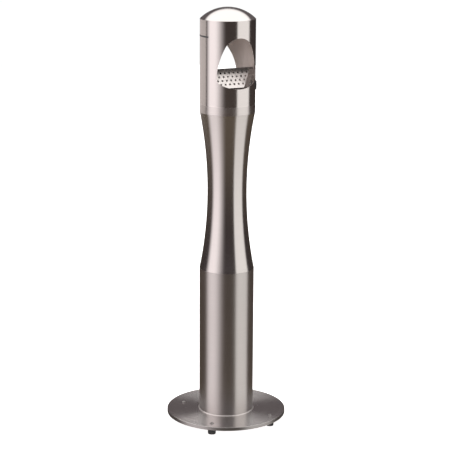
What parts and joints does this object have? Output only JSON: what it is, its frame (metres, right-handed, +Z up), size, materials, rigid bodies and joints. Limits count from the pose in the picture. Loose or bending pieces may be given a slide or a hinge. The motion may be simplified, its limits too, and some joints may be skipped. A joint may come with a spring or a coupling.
{
  "type": "ashtray bin",
  "caption": "Free-standing steel ashtray bin: round base plate, waisted post and a lift-off domed head with a mouth front and back over a perforated stub roof and a hanging liner.",
  "frame": {"origin": "floor level under the middle of the base plate, on the post's axis", "axes": "+Z up along the post, the front mouth faces -Y, +X to the right of someone facing the front mouth"},
  "size_m": [0.28, 0.28, 0.976],
  "materials": {
    "plate_steel": "brushed across",
    "tube_steel": "brushed along the tube",
    "waist_steel": "brushed round the waist",
    "collar_steel": "brushed round",
    "head_steel": "brushed along the tube",
    "dome_steel": "satin",
    "deck_steel": "satin",
    "inner_steel": "dull",
    "roof_steel": "satin",
    "weld_steel": "polished bead",
    "liner_zinc": "galvanised",
    "wire_steel": "bright wire",
    "fastener": "plated",
    "rubber": "matt black",
    "lock_black": "black",
    "lock_steel": "plated",
    "marker_black": "printed strip"
  },
  "bodies": {
    "stand": {"base_plate": "plate_steel", "foot_front_left": "rubber", "foot_front_right": "rubber", "foot_rear_left": "rubber", "foot_rear_right": "rubber", "foot_screws": "fastener", "foot_washers": "fastener", "foot_nuts": "fastener", "foot_ring": "weld_steel", "lower_tube": "tube_steel", "waist_shell": "waist_steel", "top_collar": "collar_steel", "deck_ring": "deck_steel", "spigot": "inner_steel", "chute_ring": "inner_steel", "catch_bracket": "fastener", "catch_rivets": "fastener"},
    "head": {"head_tube": "head_steel", "dome_cap": "dome_steel", "stub_roof": "roof_steel", "roof_bracket_left": "inner_steel", "roof_bracket_right": "inner_steel", "roof_rivets": "fastener", "lock_housing": "lock_black", "lock_spacer": "rubber", "lock_nut": "fastener", "marker_strip": "marker_black"},
    "lock": {"lock_barrel": "lock_steel", "lock_cam": "fastener", "cam_screw": "fastener"},
    "liner": {"liner_can": "liner_zinc", "liner_base": "liner_zinc", "liner_rim": "liner_zinc", "bail_ears": "liner_zinc"},
    "bail": {"bail_handle": "wire_steel"}
  },
  "joints": [
    {"name": "head_lift", "type": "slide", "parent": "stand", "child": "head", "axis": [0, 0, 1], "range_m": [0, 0.75]},
    {"name": "lock_turn", "type": "hinge", "parent": "head", "child": "lock", "pos_m": [0.05607, -0.02981, 0.8], "axis": [0.8829, -0.4695, 0], "range_deg": [0, 90]},
    {"name": "liner_lift", "type": "slide", "parent": "stand", "child": "liner", "axis": [0, 0, 1], "range_m": [0, 0.38]},
    {"name": "bail_swing", "type": "hinge", "parent": "liner", "child": "bail", "pos_m": [0, 0, 0.7675], "axis": [1, 0, 0], "range_deg": [0, 180]}
  ],
  "couplings": [
    {"joint": "liner_lift", "follows": "head_lift", "ratio": 0.5}
  ]
}
